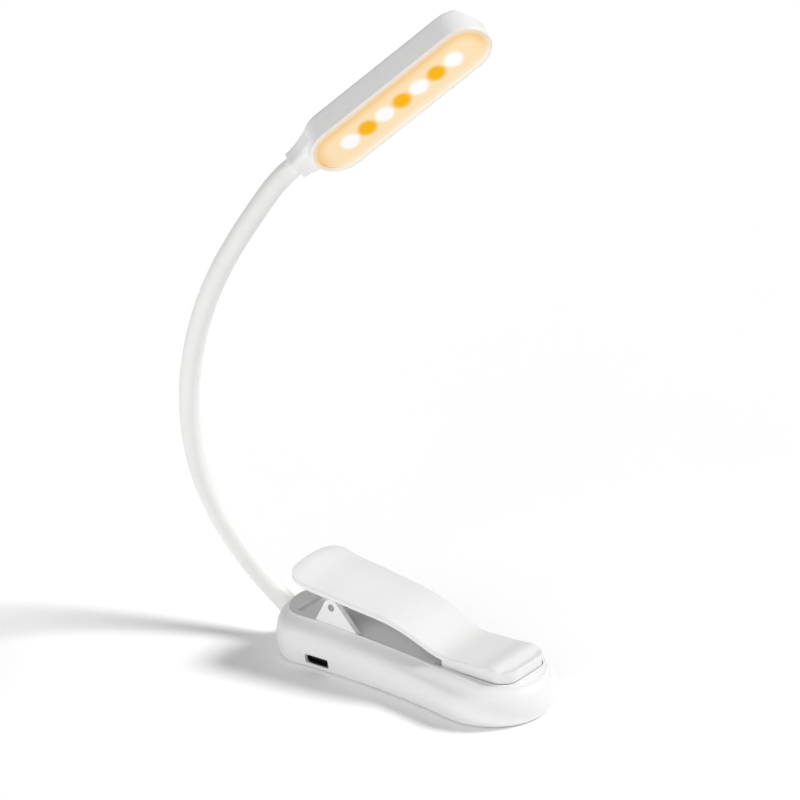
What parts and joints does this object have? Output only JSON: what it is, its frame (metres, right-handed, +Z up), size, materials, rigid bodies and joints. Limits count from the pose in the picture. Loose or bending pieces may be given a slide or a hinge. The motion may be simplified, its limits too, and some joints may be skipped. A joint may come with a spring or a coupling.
{
  "type": "clip-on reading lamp",
  "caption": "White clip-on book light: sprung clip base with charging socket, flexible gooseneck and a slim capsule head with a row of white and amber LEDs.",
  "frame": {"origin": "middle of the flat face the clip base rests on", "axes": "+X from the neck end of the base to the jaw tip, +Y to the side with the buttons, +Z up"},
  "size_m": [0.152, 0.0807, 0.2205],
  "materials": {
    "white_gloss_plastic": "moulded, satin gloss",
    "white_silicone": "smooth silicone rubber",
    "white_reflector": "white reflector film",
    "steel": "zinc plated",
    "spring_steel": "drawn wire",
    "steel_hose": "wound strip",
    "wire_insulation": "PVC insulation",
    "black_plastic": "matt",
    "battery_foil": "foil pouch",
    "foam_tape": "foam",
    "circuit_board": "solder mask",
    "led_circuit_board": "white solder mask",
    "frosted_lens": "frosted acrylic, lit",
    "led_white": "lit",
    "led_amber": "lit"
  },
  "bodies": {
    "base": {"base_bottom_cover": "white_gloss_plastic", "base_foot_pad": "white_silicone", "base_jaw_pad": "white_silicone", "base_screws": "steel", "base_upper_shell": "white_gloss_plastic", "battery": "battery_foil", "battery_tape": "foam_tape", "board_screws": "steel", "charge_led": "led_white", "control_board": "circuit_board", "driver_chip": "black_plastic", "hinge_pin": "steel", "neck_base_ferrule": "steel", "neck_hose_root": "steel_hose", "neck_sleeve_root": "white_silicone", "neck_wires_root": "wire_insulation", "spring_base_half": "spring_steel", "tactile_switches": "black_plastic", "usb_c_shell": "steel", "usb_c_tongue": "black_plastic"},
    "lever": {"clip_lever": "white_gloss_plastic", "lever_jaw_pad": "white_silicone", "spring_lever_half": "spring_steel"},
    "brightness_button": {"brightness_button": "white_gloss_plastic"},
    "colour_button": {"colour_button": "white_gloss_plastic"},
    "neck_link_1": {"neck_sleeve_1": "white_silicone", "neck_hose_1": "steel_hose", "neck_wires_1": "wire_insulation"},
    "neck_link_2": {"neck_sleeve_2": "white_silicone", "neck_hose_2": "steel_hose", "neck_wires_2": "wire_insulation"},
    "neck_link_3": {"neck_sleeve_3": "white_silicone", "neck_hose_3": "steel_hose", "neck_wires_3": "wire_insulation"},
    "neck_link_4": {"neck_sleeve_4": "white_silicone", "neck_hose_4": "steel_hose", "neck_wires_4": "wire_insulation"},
    "neck_link_5": {"neck_sleeve_5": "white_silicone", "neck_hose_5": "steel_hose", "neck_wires_5": "wire_insulation"},
    "neck_link_6": {"neck_sleeve_6": "white_silicone", "neck_hose_6": "steel_hose", "neck_wires_6": "wire_insulation"},
    "head": {"head_back_shell": "white_gloss_plastic", "head_front_bezel": "white_gloss_plastic", "diffuser_lens": "frosted_lens", "led_board": "led_circuit_board", "reflector": "white_reflector", "white_leds": "led_white", "amber_leds": "led_amber", "neck_head_ferrule": "steel", "neck_sleeve_tip": "white_silicone", "neck_hose_tip": "steel_hose", "neck_wires_tip": "wire_insulation"}
  },
  "joints": [
    {"name": "clip_lever_hinge", "type": "hinge", "parent": "base", "child": "lever", "pos_m": [-0.0264, 0, 0.0224], "axis": [0, -1, 0], "range_deg": [0, 25], "stiffness_Nm_per_rad": 0.35, "springref_deg": -28.65},
    {"name": "brightness_button_press", "type": "slide", "parent": "base", "child": "brightness_button", "axis": [0, -1, 0], "range_m": [0, 0.0003], "stiffness_N_per_m": 600, "springref_m": -0.0015},
    {"name": "colour_button_press", "type": "slide", "parent": "base", "child": "colour_button", "axis": [0, -1, 0], "range_m": [0, 0.0003], "stiffness_N_per_m": 600, "springref_m": -0.0015},
    {"name": "neck_bend_1", "type": "hinge", "parent": "base", "child": "neck_link_1", "pos_m": [-0.06124, 0, 0.01656], "axis": [0, 1, 0], "range_deg": [-30, 30]},
    {"name": "neck_sway_2", "type": "hinge", "parent": "neck_link_1", "child": "neck_link_2", "pos_m": [-0.08047, 0, 0.03409], "axis": [-0.7683, 0, -0.6401], "range_deg": [-30, 30]},
    {"name": "neck_bend_3", "type": "hinge", "parent": "neck_link_2", "child": "neck_link_3", "pos_m": [-0.09239, 0, 0.05708], "axis": [0, 1, 0], "range_deg": [-30, 30]},
    {"name": "neck_sway_4", "type": "hinge", "parent": "neck_link_3", "child": "neck_link_4", "pos_m": [-0.09474, 0.00023, 0.08295], "axis": [-0.9968, 0, 0.0802], "range_deg": [-30, 30]},
    {"name": "neck_bend_5", "type": "hinge", "parent": "neck_link_4", "child": "neck_link_5", "pos_m": [-0.09021, 0.00183, 0.10855], "axis": [-0.0279, 0.9945, -0.1007], "range_deg": [-30, 30]},
    {"name": "neck_sway_6", "type": "hinge", "parent": "neck_link_5", "child": "neck_link_6", "pos_m": [-0.08121, 0.00614, 0.13262], "axis": [-0.9018, 0, 0.4321], "range_deg": [-30, 30]},
    {"name": "neck_twist", "type": "hinge", "parent": "neck_link_6", "child": "head", "pos_m": [-0.06974, 0.01355, 0.15483], "axis": [0.457, 0.342, 0.8211], "range_deg": [-60, 60]}
  ]
}
